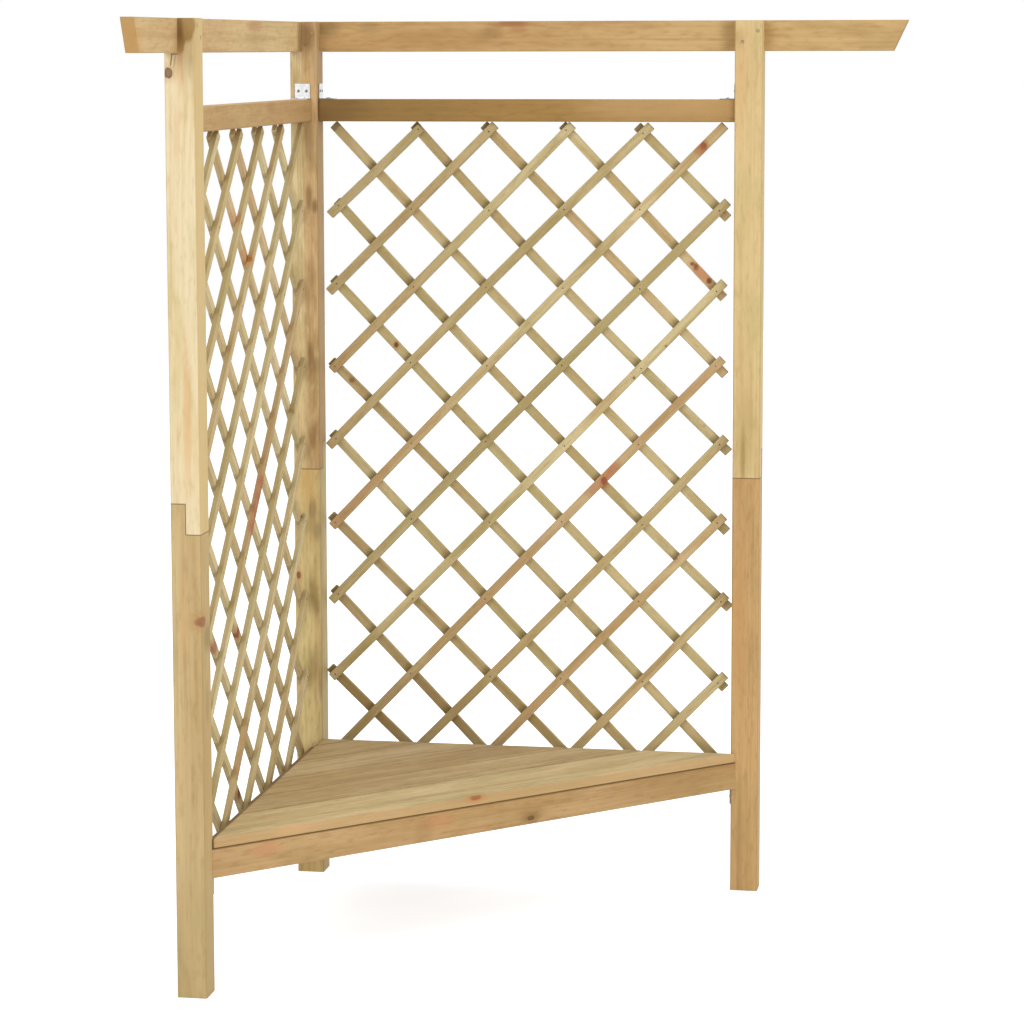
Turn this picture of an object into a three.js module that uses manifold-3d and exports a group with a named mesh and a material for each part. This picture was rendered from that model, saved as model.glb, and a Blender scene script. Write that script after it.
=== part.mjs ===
// A corner arbour seat: two trellised wings at a right angle and a three-cornered bench between them.
// Millimetres, +Z up. The plan is drawn from the outer corner where the wings meet: X runs along the
// right wing, -Y along the left wing. The finished group is moved so that the origin lies on the
// ground below the middle of the whole.

import * as THREE from 'three';
import { mergeVertices } from 'three/addons/utils/BufferGeometryUtils.js';
import Module from 'manifold-3d';

const wasm = await Module();
wasm.setup();

// Overall sizes
const totalHeight = 1970;
const wingSpan = 951; // clear width between the two posts of a wing
const clearance = 0.3; // gap left between pieces that touch
const overrun = 5; // how far a cutting body passes the piece that it cuts

// Posts: two lengths each, joined by a half lap, with a seat for the beam cut in the top
const postSize = 62;
const postArris = 3.5;
const lapFloor = 948;
const lapLength = 62;

// Beams along the top
const beamThickness = 28;
const beamHeight = 68;
const beamLength = 1365;
const beamSlant = 32; // a beam is this much longer along its top edge than along its bottom edge
const boardArris = 2;

// Upper rails
const railWidth = 50;
const railHeight = 50;
const railDrop = 175; // from the top of the posts to the top of a rail
const railArris = 2.5;

// Trellis of crossing slats
const slatWidth = 20;
const slatThickness = 8;
const slatStub = 20; // free end past the outermost crossing
const slatBite = 0.4; // how deep two crossing slats are pressed into each other
const trellisMargin = 25.5; // from a post to the outermost column of crossings
const trellisColumns = 10; // half diamonds across
const trellisFootRise = 26; // from the underside of a bearer to the lowest slat ends

// Seat
const seatHeight = 318;
const plankThickness = 20;
const frontPlankWidth = 150;
const tipDepth = 57; // the small piece in front of the corner post
const plankCount = 4; // planks of equal width between the front plank and the small piece
const plankGap = 2;
const plankBearing = 10; // how far the plank ends lie on a bearer
const seatOverhang = 8; // front edge past the line between the inner corners of the outer posts
const apronThickness = 28;
const apronHeight = 62;
const bearerThickness = 40;
const bearerHeight = 62;
const bearerLedge = 12; // how far a bearer stands past the inner faces of its posts
const middleThickness = 28;

// Angle brackets
const bracketWidth = 35;
const bracketLeg = 35;
const bracketSheet = 2;
const bracketBend = 2;
const bracketHoleRadius = 2.4;
const bracketHoleSpacing = 18;
const bracketDepth = 29; // centre of a rail bracket behind the outer face of its wing

// Screws
const screwLength = 50;
const screwHeadRadius = 4.2;
const screwHeadDepth = 3.2;
const screwShankRadius = 2.1;
const screwTip = 5;
const screwSink = 0.3; // a head lies this far below the wood
const lapScrewShares = [0.3, 0.7];

// Beam screws: how far below the top of the post and where across its tongue, from left to right as
// seen from the bench. At the corner post each pair passes between the screws of the other.
const beamScrewDrops = { left: [15, 38], cornerLeft: [38, 14], cornerRight: [26, 50], right: [23, 48] };
const beamScrewShares = {
	left: [0.38, 0.77],
	cornerLeft: [0.72, 0.26],
	cornerRight: [0.72, 0.26],
	right: [0.82, 0.27],
};

// Round edges and holes
const arrisSegments = 2;
const bendSegments = 4;
const holeSegments = 12;
const screwSegments = 12;

// Places worked out from the sizes
const wingLength = 2 * postSize + wingSpan;
const railTop = totalHeight - railDrop;
const railBottom = railTop - railHeight;
const plankFloor = seatHeight - plankThickness;
const bearerTop = plankFloor - clearance;
const bearerBottom = bearerTop - bearerHeight;
const notchDepth = beamThickness + clearance;
const notchFloor = totalHeight - beamHeight - clearance;
const rightBeamStart = beamThickness + clearance;
const planWidth = rightBeamStart + beamLength;
const planDepth = beamLength;

// A wing is drawn with x along it, its outer face at y = 0 and its inner side at negative y.
// Seen from the bench, x runs from left to right in both wings.
const wings = {
	left: new THREE.Matrix4().makeRotationZ(Math.PI / 2).setPosition(0, -wingLength, 0),
	right: new THREE.Matrix4(),
};

function solidOf(geometry) {
	const bare = geometry.clone();
	bare.deleteAttribute('normal');
	bare.deleteAttribute('uv');
	const merged = mergeVertices(bare);
	return new wasm.Manifold(new wasm.Mesh({
		numProp: 3,
		vertProperties: new Float32Array(merged.attributes.position.array),
		triVerts: new Uint32Array(merged.index.array),
	}));
}

function geometryOf(solid) {
	const mesh = solid.getMesh();
	const geometry = new THREE.BufferGeometry();
	geometry.setAttribute('position', new THREE.BufferAttribute(mesh.vertProperties, mesh.numProp));
	geometry.setIndex(new THREE.BufferAttribute(mesh.triVerts, 1));
	geometry.computeVertexNormals();
	return geometry;
}

function cut(geometry, ...cutters) {
	return geometryOf(cutters.reduce((solid, cutter) => solid.subtract(solidOf(cutter)), solidOf(geometry)));
}

function join(geometries) {
	return geometryOf(geometries.map(solidOf).reduce((whole, solid) => whole.add(solid)));
}

function boxBetween(low, high) {
	const size = high.map((value, axis) => value - low[axis]);
	const box = new THREE.BoxGeometry(...size);
	return box.translate(...low.map((value, axis) => value + size[axis] / 2));
}

function placed(geometry, ...matrices) {
	return matrices.reduce((moved, matrix) => moved.applyMatrix4(matrix), geometry.clone());
}

function moveBy(x, y, z) {
	return new THREE.Matrix4().makeTranslation(x, y, z);
}

// Wood

function rectangle(width, height) {
	return [[0, 0], [width, 0], [width, height], [0, height]];
}

// A board with every edge eased: an outline raised by a thickness.
function board(outline, thickness, arris) {
	const shape = new THREE.Shape(outline.map(([x, y]) => new THREE.Vector2(x, y)));
	const geometry = new THREE.ExtrudeGeometry(shape, {
		depth: thickness - 2 * arris,
		bevelThickness: arris,
		bevelSize: arris,
		bevelOffset: -arris,
		bevelSegments: arrisSegments,
		steps: 1,
	});
	return geometry.translate(0, 0, arris);
}

// A board of a wing: its side view stands up from z = 0 and its thickness goes inwards from y = 0.
function standingBoard(outline, thickness, arris) {
	return board(outline, thickness, arris).rotateX(Math.PI / 2);
}

function squareOutline(size, arris) {
	const shape = new THREE.Shape();
	shape.absarc(size - arris, -arris, arris, 0, Math.PI / 2);
	shape.absarc(arris, -arris, arris, Math.PI / 2, Math.PI);
	shape.absarc(arris, arris - size, arris, Math.PI, 1.5 * Math.PI);
	shape.absarc(size - arris, arris - size, arris, 1.5 * Math.PI, 2 * Math.PI);
	return shape;
}

function postLength(bottom, top) {
	const settings = { depth: top - bottom, bevelEnabled: false, curveSegments: arrisSegments };
	return new THREE.ExtrudeGeometry(squareOutline(postSize, postArris), settings).translate(0, 0, bottom);
}

const lapTop = lapFloor + lapLength;
const lapPlane = -postSize / 2;
const postLow = [-overrun, -postSize - overrun];
const postHigh = [postSize + overrun, overrun];

// The lower length keeps its outer half over the lap.
function lowerPost() {
	const innerHalf = boxBetween(
		[postLow[0], postLow[1], lapFloor],
		[postHigh[0], lapPlane, lapTop + overrun],
	);
	return cut(postLength(0, lapTop), innerHalf);
}

// The upper length keeps its inner half over the lap, a little clear of the lower one.
function upperPost() {
	const bottom = lapFloor + clearance;
	const outerHalf = boxBetween(
		[postLow[0], lapPlane - clearance, bottom - overrun],
		[postHigh[0], postHigh[1], lapTop + clearance],
	);
	return cut(postLength(bottom, totalHeight), outerHalf);
}

function beamNotch() {
	return boxBetween(
		[postLow[0], -notchDepth, notchFloor],
		[postHigh[0], postHigh[1], totalHeight + overrun],
	);
}

// The corner post carries the beam of the left wing too, on its other outer side.
function leftBeamNotch() {
	return boxBetween(
		[postLow[0], postLow[1], notchFloor],
		[notchDepth, postHigh[1], totalHeight + overrun],
	);
}

// Side view of a beam whose far end slopes back towards its underside
function beamOutline() {
	return [[0, 0], [beamLength - beamSlant, 0], [beamLength, beamHeight], [0, beamHeight]];
}

function rightBeam() {
	const start = moveBy(rightBeamStart, 0, totalHeight - beamHeight);
	return placed(standingBoard(beamOutline(), beamThickness, boardArris), start);
}

function leftBeam() {
	const outline = beamOutline().map(([x, z]) => [wingLength - x, z]);
	const start = moveBy(0, 0, totalHeight - beamHeight);
	return placed(standingBoard(outline, beamThickness, boardArris), start, wings.left);
}

function rail() {
	const outline = rectangle(wingSpan - 2 * clearance, railHeight);
	return placed(standingBoard(outline, railWidth, railArris), moveBy(postSize + clearance, 0, railBottom));
}

// A bearer seen from above, in the frame of the right wing. Its ledge for the plank ends is mitred to
// the other bearer at the corner and stops behind the front board at the far end.
function bearerOutline() {
	const flush = -postSize;
	const inner = flush - bearerLedge;
	const start = postSize + clearance;
	const end = postSize + wingSpan - clearance;
	const apronEnd = postSize + wingSpan - (apronBack + clearance) * Math.SQRT2;
	return [
		[start, inner + bearerThickness],
		[start, flush],
		[start + bearerLedge, inner],
		[apronEnd - bearerLedge, inner],
		[apronEnd, flush],
		[end, flush],
		[end, inner + bearerThickness],
	];
}

function wingBearer(side) {
	const outline = bearerOutline();
	const turned = outline.map(([x, y]) => [wingLength - x, y]).reverse();
	const solid = board(side === 'left' ? turned : outline, bearerHeight, boardArris);
	return placed(solid, moveBy(0, 0, bearerBottom));
}

// Trellis

// Height of the top row of crossings and the step between rows. The reach of a slat's free end
// depends on its slope and the slope on the step, so both are settled in a few rounds.
function trellisGrid() {
	const columnStep = (wingSpan - 2 * trellisMargin) / trellisColumns;
	const top = railBottom - clearance;
	const bottom = bearerBottom + trellisFootRise;
	const rows = 2 * Math.round((top - bottom - 2 * slatStub) / (2 * columnStep));
	let reach = slatStub;
	let rowStep = columnStep;
	for (let round = 0; round < 6; round += 1) {
		rowStep = (top - bottom - 2 * reach) / rows;
		const slope = Math.atan2(rowStep, columnStep);
		reach = slatStub * Math.sin(slope) + (slatWidth / 2) * Math.cos(slope);
	}
	return { columnStep, rowStep, rows, topRow: top - reach };
}

// One slat from one crossing to another, with its free ends. Its inner face lies at the given depth.
function slat(from, to, depth) {
	const run = to[0] - from[0];
	const rise = to[1] - from[1];
	const length = Math.hypot(run, rise) + 2 * slatStub;
	const lath = new THREE.BoxGeometry(length, slatThickness, slatWidth);
	lath.rotateY(-Math.atan2(rise, run));
	return lath.translate((from[0] + to[0]) / 2, slatThickness / 2 - depth, (from[1] + to[1]) / 2);
}

// Two layers of slats that cross where column plus row is even. Slats that rise to the right
// lie on the bench side, and those that fall to the right lie behind them.
function trellis() {
	const { columnStep, rowStep, rows, topRow } = trellisGrid();
	const crossing = (column, row) => [
		postSize + trellisMargin + column * columnStep,
		topRow - row * rowStep,
	];
	const innerDepth = postSize + bearerLedge - bearerThickness - clearance;
	const outerDepth = innerDepth - slatThickness + slatBite;
	const slats = [];
	for (let sum = 2; sum < trellisColumns + rows; sum += 2) {
		const low = Math.max(0, sum - rows);
		const high = Math.min(trellisColumns, sum);
		slats.push(slat(crossing(low, sum - low), crossing(high, sum - high), innerDepth));
	}
	for (let lead = 2 - rows; lead < trellisColumns; lead += 2) {
		const low = Math.max(0, lead);
		const high = Math.min(trellisColumns, lead + rows);
		slats.push(slat(crossing(low, low - lead), crossing(high, high - lead), outerDepth));
	}
	return join(slats);
}

// Seat: drawn with x along the front edge and y towards the corner post, from the middle of the
// line between the inner corners of the two outer posts.

const halfFront = wingSpan / Math.SQRT2;
const seatMiddle = postSize + wingSpan / 2;
const seatPlace = new THREE.Matrix4().makeRotationZ(Math.PI / 4).setPosition(seatMiddle, -seatMiddle, 0);
const apronFront = -seatOverhang;
const apronBack = apronFront + apronThickness;

// Half the width between the wings at a place behind the front line, moved outwards by an amount
function halfWidth(y, outwards) {
	return halfFront - y + outwards * Math.SQRT2;
}

function mirrored(rightSide) {
	const leftSide = rightSide.map(([x, y]) => [-x, y]).reverse();
	return [...rightSide, ...leftSide.filter(([x]) => x !== 0)];
}

// The plank ends lie on the ledges of the bearers, a little short of the posts.
const plankReach = plankBearing - bearerLedge;

function plankOutline(front, back) {
	return mirrored([[halfWidth(front, plankReach), front], [halfWidth(back, plankReach), back]]);
}

// The hindmost piece runs out to a point in front of the corner post.
function lastPlankOutline(front) {
	return mirrored([[halfWidth(front, plankReach), front], [0, halfWidth(0, plankReach)]]);
}

// The equal planks share the depth that the front plank and the hindmost piece leave.
const firstFront = frontPlankWidth - seatOverhang + plankGap;
const plankStep = (halfFront - tipDepth - firstFront) / plankCount;
const plankWidth = plankStep - plankGap;

function plankOutlines() {
	const middles = Array.from({ length: plankCount }, (_, index) => firstFront + index * plankStep);
	return [
		plankOutline(-seatOverhang, frontPlankWidth - seatOverhang),
		...middles.map((front) => plankOutline(front, front + plankWidth)),
		lastPlankOutline(firstFront + plankCount * plankStep),
	];
}

function seatBoard(outline, bottom, height) {
	return placed(board(outline, height, boardArris), moveBy(0, 0, bottom), seatPlace);
}

// The front board stands under the front plank, mitred to the inner faces of the outer posts.
function apron() {
	const outline = mirrored([
		[halfWidth(apronFront, -clearance), apronFront],
		[halfWidth(apronBack, -clearance), apronBack],
	]);
	return seatBoard(outline, bearerTop - apronHeight, apronHeight);
}

// From the front board towards the corner post, pointed to lie against both wing bearers
function middleBearer() {
	const half = middleThickness / 2;
	const reach = halfWidth(0, -bearerLedge - clearance);
	const outline = mirrored([
		[half, apronBack + clearance],
		[half, reach - half],
		[0, reach],
	]);
	return seatBoard(outline, bearerBottom, bearerHeight);
}

// Metal

function bracketOutline() {
	const inside = bracketSheet + bracketBend;
	const shape = new THREE.Shape();
	shape.moveTo(bracketLeg, 0);
	shape.lineTo(bracketLeg, bracketSheet);
	shape.absarc(inside, inside, bracketBend, -Math.PI / 2, Math.PI, true);
	shape.lineTo(bracketSheet, bracketLeg);
	shape.lineTo(0, bracketLeg);
	shape.absarc(inside, inside, inside, Math.PI, 1.5 * Math.PI, false);
	return shape;
}

function bracketHole() {
	return new THREE.CylinderGeometry(
		bracketHoleRadius,
		bracketHoleRadius,
		bracketSheet + 2 * overrun,
		holeSegments,
	);
}

// One leg lies on z = 0 along x, the other stands against x = 0, and y runs across the bracket.
function bracket() {
	const settings = { depth: bracketWidth, bevelEnabled: false, curveSegments: bendSegments };
	const angle = new THREE.ExtrudeGeometry(bracketOutline(), settings);
	angle.rotateX(Math.PI / 2).translate(0, bracketWidth / 2, 0);
	const middle = (bracketLeg + bracketSheet) / 2;
	const holes = [-bracketHoleSpacing / 2, bracketHoleSpacing / 2].flatMap((y) => [
		bracketHole().rotateX(Math.PI / 2).translate(middle, y, bracketSheet / 2),
		bracketHole().rotateZ(Math.PI / 2).translate(bracketSheet / 2, y, middle),
	]);
	return cut(angle, ...holes);
}

// A countersunk screw along +y with its head at y = 0, or the bore for it when it is grown
function screwBody(grown) {
	const head = screwHeadRadius + grown;
	const shank = screwShankRadius + grown;
	const start = grown > 0 ? -overrun : screwSink;
	const profile = [
		[0, start],
		[head, start],
		[head, screwSink + grown],
		[shank, screwSink + screwHeadDepth + grown],
		[shank, screwLength - screwTip + grown],
		[0, screwLength + grown],
	];
	const points = profile.map(([radius, y]) => new THREE.Vector2(radius, y));
	return new THREE.LatheGeometry(points, screwSegments);
}

// Two screws through the inner tongue of a post top into the beam behind it
function beamScrewPlaces(pair, wing, tongueStart, tongueWidth) {
	return beamScrewDrops[pair].map((drop, index) => {
		const x = tongueStart + tongueWidth * beamScrewShares[pair][index];
		return moveBy(x, -postSize, totalHeight - drop).premultiply(wings[wing]);
	});
}

// Two screws through the outer tongue of a half lap
function lapScrewPlaces(wing, postStart) {
	const turn = new THREE.Matrix4().makeRotationZ(Math.PI);
	return lapScrewShares.map((share) => {
		const place = moveBy(postStart + postSize * share, 0, lapFloor + lapLength * share);
		return place.multiply(turn).premultiply(wings[wing]);
	});
}

const outerStart = postSize + wingSpan;
const cornerTongue = postSize - notchDepth;
const screwPlaces = {
	left_post_beam_screw: beamScrewPlaces('left', 'left', 0, postSize),
	corner_post_left_beam_screw: beamScrewPlaces('cornerLeft', 'left', outerStart, cornerTongue),
	corner_post_right_beam_screw: beamScrewPlaces('cornerRight', 'right', notchDepth, cornerTongue),
	right_post_beam_screw: beamScrewPlaces('right', 'right', outerStart, postSize),
	left_post_lap_screw: lapScrewPlaces('left', 0),
	corner_post_lap_screw: lapScrewPlaces('right', 0),
	right_post_lap_screw: lapScrewPlaces('right', outerStart),
};

function bores(...names) {
	const places = names.flatMap((name) => screwPlaces[name]);
	return places.map((place) => placed(screwBody(clearance), place));
}

// Materials

const finishes = {
	post: new THREE.MeshStandardMaterial({ color: 0xcdb07a, roughness: 0.75, metalness: 0 }),
	beam: new THREE.MeshStandardMaterial({ color: 0xc8a870, roughness: 0.75, metalness: 0 }),
	rail: new THREE.MeshStandardMaterial({ color: 0xa9804c, roughness: 0.78, metalness: 0 }),
	slat: new THREE.MeshStandardMaterial({ color: 0xb99c66, roughness: 0.8, metalness: 0 }),
	plank: new THREE.MeshStandardMaterial({ color: 0xbfa26c, roughness: 0.75, metalness: 0 }),
	apron: new THREE.MeshStandardMaterial({ color: 0xc2975c, roughness: 0.75, metalness: 0 }),
	bearer: new THREE.MeshStandardMaterial({ color: 0xb8965f, roughness: 0.8, metalness: 0 }),
	zinc: new THREE.MeshStandardMaterial({ color: 0xd9dcdd, roughness: 0.35, metalness: 0.9 }),
	screw: new THREE.MeshStandardMaterial({ color: 0xb9b29a, roughness: 0.4, metalness: 0.9 }),
};

const arbour = new THREE.Group();
arbour.position.set(-planWidth / 2, planDepth / 2, 0);

function add(name, geometry, finish, parent = arbour) {
	const mesh = new THREE.Mesh(geometry, finishes[finish]);
	mesh.name = name;
	parent.add(mesh);
	return mesh;
}

// Posts and beams

const posts = {
	left: { place: wings.left, screws: ['left_post_beam_screw'] },
	corner: {
		place: wings.right,
		screws: ['corner_post_left_beam_screw', 'corner_post_right_beam_screw'],
	},
	right: { place: moveBy(outerStart, 0, 0), screws: ['right_post_beam_screw'] },
};

for (const [side, { place, screws }] of Object.entries(posts)) {
	const lapBores = bores(`${side}_post_lap_screw`);
	const notches = side === 'corner' ? [beamNotch(), leftBeamNotch()] : [beamNotch()];
	const notched = cut(upperPost(), ...notches);
	add(`${side}_post_lower`, cut(placed(lowerPost(), place), ...lapBores), 'post');
	add(`${side}_post_upper`, cut(placed(notched, place), ...lapBores, ...bores(...screws)), 'post');
}

const leftBeamBores = bores('left_post_beam_screw', 'corner_post_left_beam_screw');
const rightBeamBores = bores('right_post_beam_screw', 'corner_post_right_beam_screw');
add('left_beam', cut(leftBeam(), ...leftBeamBores), 'beam');
add('right_beam', cut(rightBeam(), ...rightBeamBores), 'beam');

for (const [name, places] of Object.entries(screwPlaces)) {
	places.forEach((place, index) => {
		add(`${name}_${index + 1}`, screwBody(0), 'screw').applyMatrix4(place);
	});
}

// Rails, trellis, bearers and brackets of both wings

const halfTurn = Math.PI;
const railBracketY = -bracketDepth;
const bearerBracketY = bracketWidth / 2 - postSize;
const nearX = postSize + clearance;
const farX = outerStart - clearance;

function addBracket(name, parent, position, rotation) {
	const mesh = add(name, bracket(), 'zinc', parent);
	mesh.position.set(...position);
	mesh.rotation.set(...rotation);
}

for (const [side, matrix] of Object.entries(wings)) {
	const wing = new THREE.Group();
	wing.applyMatrix4(matrix);
	arbour.add(wing);
	add(`${side}_rail`, rail(), 'rail', wing);
	add(`${side}_trellis`, trellis(), 'slat', wing);
	add(`${side}_bearer`, wingBearer(side), 'bearer', wing);
	const [near, far] = side === 'left' ? ['outer', 'corner'] : ['corner', 'outer'];
	const above = railTop + clearance;
	const below = bearerBottom - clearance;
	addBracket(`${side}_rail_bracket_${near}`, wing, [nearX, railBracketY, above], [0, 0, 0]);
	addBracket(`${side}_rail_bracket_${far}`, wing, [farX, railBracketY, above], [0, 0, halfTurn]);
	addBracket(`${side}_bearer_bracket_${near}`, wing, [nearX, bearerBracketY, below], [halfTurn, 0, 0]);
	addBracket(`${side}_bearer_bracket_${far}`, wing, [farX, bearerBracketY, below], [0, halfTurn, 0]);
}

// Seat

add('seat_apron', apron(), 'apron');
add('middle_bearer', middleBearer(), 'bearer');
plankOutlines().forEach((outline, index) => {
	add(`seat_plank_${index + 1}`, seatBoard(outline, plankFloor, plankThickness), 'plank');
});

export default arbour;
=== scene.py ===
import math
from functools import partial
import bpy
import numpy as np
from mathutils import Matrix, Vector


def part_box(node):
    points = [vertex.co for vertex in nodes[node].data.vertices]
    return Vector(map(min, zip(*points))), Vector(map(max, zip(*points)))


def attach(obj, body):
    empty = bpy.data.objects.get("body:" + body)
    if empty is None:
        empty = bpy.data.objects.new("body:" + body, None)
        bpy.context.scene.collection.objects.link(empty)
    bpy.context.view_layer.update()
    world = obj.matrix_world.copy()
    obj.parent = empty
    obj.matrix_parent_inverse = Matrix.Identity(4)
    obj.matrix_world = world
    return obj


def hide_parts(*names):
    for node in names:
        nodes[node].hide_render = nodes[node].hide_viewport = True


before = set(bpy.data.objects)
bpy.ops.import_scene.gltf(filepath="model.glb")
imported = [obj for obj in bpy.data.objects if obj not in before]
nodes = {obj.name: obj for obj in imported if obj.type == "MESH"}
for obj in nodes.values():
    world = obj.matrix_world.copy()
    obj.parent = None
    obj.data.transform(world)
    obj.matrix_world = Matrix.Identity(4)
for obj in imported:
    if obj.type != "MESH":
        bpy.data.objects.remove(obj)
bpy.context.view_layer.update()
random = np.random.default_rng(17)
print("frame loaded:", len(nodes), "CAD nodes")

# Reference places of the two wings, read off the frame
cornerLow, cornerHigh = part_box("corner_post_lower")
outerX = cornerLow.x  # outer face of the left wing
outerY = cornerHigh.y  # outer face of the right wing
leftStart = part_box("left_post_lower")[0].y  # free end of the left wing
postSize = cornerHigh.x - cornerLow.x


# A point of a wing is given by its place along the wing from left to right as seen from the bench,
# its depth inwards from the outer face, and its height.
def wingPoints(side, along, depth, height):
    along, depth, height = np.broadcast_arrays(along, depth, height)
    if side == "left":
        return np.stack([outerX + depth, leftStart + along, height], axis=-1)
    return np.stack([outerX + along, outerY - depth, height], axis=-1)


wingInwards = {"left": np.array([1.0, 0.0, 0.0]), "right": np.array([0.0, -1.0, 0.0])}


def tint(text):  # an sRGB hex text as linear red, green, blue, alpha
    parts = np.array([int(text[i:i + 2], 16) for i in (1, 3, 5)]) / 255
    linear = np.where(parts <= 0.04045, parts / 12.92, ((parts + 0.055) / 1.055) ** 2.4)
    return (*linear.tolist(), 1.0)


# Shader helpers: most return the output socket of the node that they add to the tree of their sockets
def treeOf(*terms):
    return next(term for term in terms if isinstance(term, bpy.types.NodeSocket)).id_data


def feed(socket, source):  # a socket is linked, a hex text is written as a colour, and the rest as a value
    if isinstance(source, bpy.types.NodeSocket):
        socket.id_data.links.new(source, socket)
    else:
        socket.default_value = tint(source) if isinstance(source, str) else source


def feedAll(made, **terms):  # feeds inputs by their labels and gives back the outputs
    for label, term in terms.items():
        feed(made.inputs[label], term)
    return made.outputs


def addNode(tree, kind, **settings):
    made = tree.nodes.new("ShaderNode" + kind)
    for key, setting in settings.items():
        setattr(made, key, setting)
    return made


def number(operation, *terms):
    made = addNode(treeOf(*terms), "Math", operation=operation)
    for socket, term in zip(made.inputs, terms):
        feed(socket, term)
    return made.outputs[0]


plus, minus, times, over = (partial(number, name) for name in ("ADD", "SUBTRACT", "MULTIPLY", "DIVIDE"))
larger, smaller, absolute = (partial(number, name) for name in ("MAXIMUM", "MINIMUM", "ABSOLUTE"))


def arrow(operation, *terms):  # vector arithmetic; dot products and lengths come out as values
    made = addNode(treeOf(*terms), "VectorMath", operation=operation)
    for socket, term in zip(made.inputs, terms):
        feed(socket, term)
    return made.outputs["Value" if operation in ("DOT_PRODUCT", "LENGTH") else "Vector"]


def split(vector):  # its three numbers
    return feedAll(addNode(treeOf(vector), "SeparateXYZ"), Vector=vector)


def join(x, y, z):
    return feedAll(addNode(treeOf(x, y, z), "CombineXYZ"), X=x, Y=y, Z=z)[0]


def ease(source, low, high, start=0.0, end=1.0):  # soft step from start to end between low and high
    made = addNode(treeOf(source, low, high), "MapRange", interpolation_type="SMOOTHSTEP")
    terms = {"Value": source, "From Min": low, "From Max": high, "To Min": start, "To Max": end}
    return feedAll(made, **terms)["Result"]


def mingle(share, first, second):  # first, with the share of second over it
    made = addNode(treeOf(share, first, second), "Mix", data_type="RGBA")
    for index, term in ((0, share), (6, first), (7, second)):
        feed(made.inputs[index], term)
    return made.outputs[2]


def noise(place, stretch, detail=2.0, colour=False):  # its cells are 1/stretch metres long each way
    made = addNode(treeOf(place), "TexNoise")
    outputs = feedAll(made, Vector=arrow("MULTIPLY", place, stretch), Scale=1.0, Detail=detail)
    return outputs["Color" if colour else "Fac"]


def newGroup(name, inputs, **outputs):  # inputs by their defaults, where a text is a colour
    group = bpy.data.node_groups.new(name, "ShaderNodeTree")
    for label, default in inputs.items():
        kind = {str: "NodeSocketColor", tuple: "NodeSocketVector"}.get(type(default), "NodeSocketFloat")
        socket = group.interface.new_socket(name=label, in_out="INPUT", socket_type=kind)
        socket.default_value = tint(default) if isinstance(default, str) else default
    for label, kind in outputs.items():
        group.interface.new_socket(name=label, in_out="OUTPUT", socket_type=kind)
    return group, group.nodes.new("NodeGroupInput").outputs, group.nodes.new("NodeGroupOutput").inputs


def useGroup(group, **terms):
    return feedAll(addNode(treeOf(*terms.values()), "Group", node_tree=group), **terms)


# The words of a look that tell its wood, with what plain wood has. Sizes are in metres, and stains,
# rings and streaks are strengths.
plainWood = {
    "light": "#C4A972", "middle": "#B2935F", "heart": "#B08A58", "dark": "#84663A", "stain": "#B3A46C",
    "stains": 0.35, "heartRadius": 0.0, "wander": 0.03, "ringWidth": 0.005, "rings": 0.25, "streaks": 0.35,
    "knots": 0.0, "knotSize": 0.006,  # the share of the places for a branch that have a knot, and its radius
}

# The noises of the wood: cells per metre along and across the stem, an offset and the detail
pineNoises = {
    "patch": (1.7, 11.0, (0.0, 0.0, 0.0), 2.0),  # broad tones
    "cloud": (5.0, 26.0, (7.3, 0.4, 0.9), 2.0),  # smaller tones and stains
    "streak": (2.2, 85.0, (0.0, 0.0, 0.0), 3.0),
    "band": (1.1, 42.0, (3.1, 0.7, 0.2), 2.0),  # broad streaks
    "mottle": (30.0, 120.0, (0.0, 0.0, 0.0), 3.0),
    "fibre": (9.0, 420.0, (0.0, 0.0, 0.0), 2.0),
}
pineFigure = {
    "perMetre": 5.0, "perRadian": 0.9,  # places for a branch along the stem and round it
    "halo": "#A9713F", "core": "#7A5230", "rim": "#4B3320",  # colours of a branch
    "wobble": 1.6, "bending": 1.8,  # how far the streaks and a knot push the rings aside, in rings
    "heartEdge": 0.003, "heartWobble": 0.012,  # half the width of the heartwood's edge, and its waves
    "drift": (1.3, 4.0, 4.0),  # the slow noise that bends the stem
}


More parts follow.
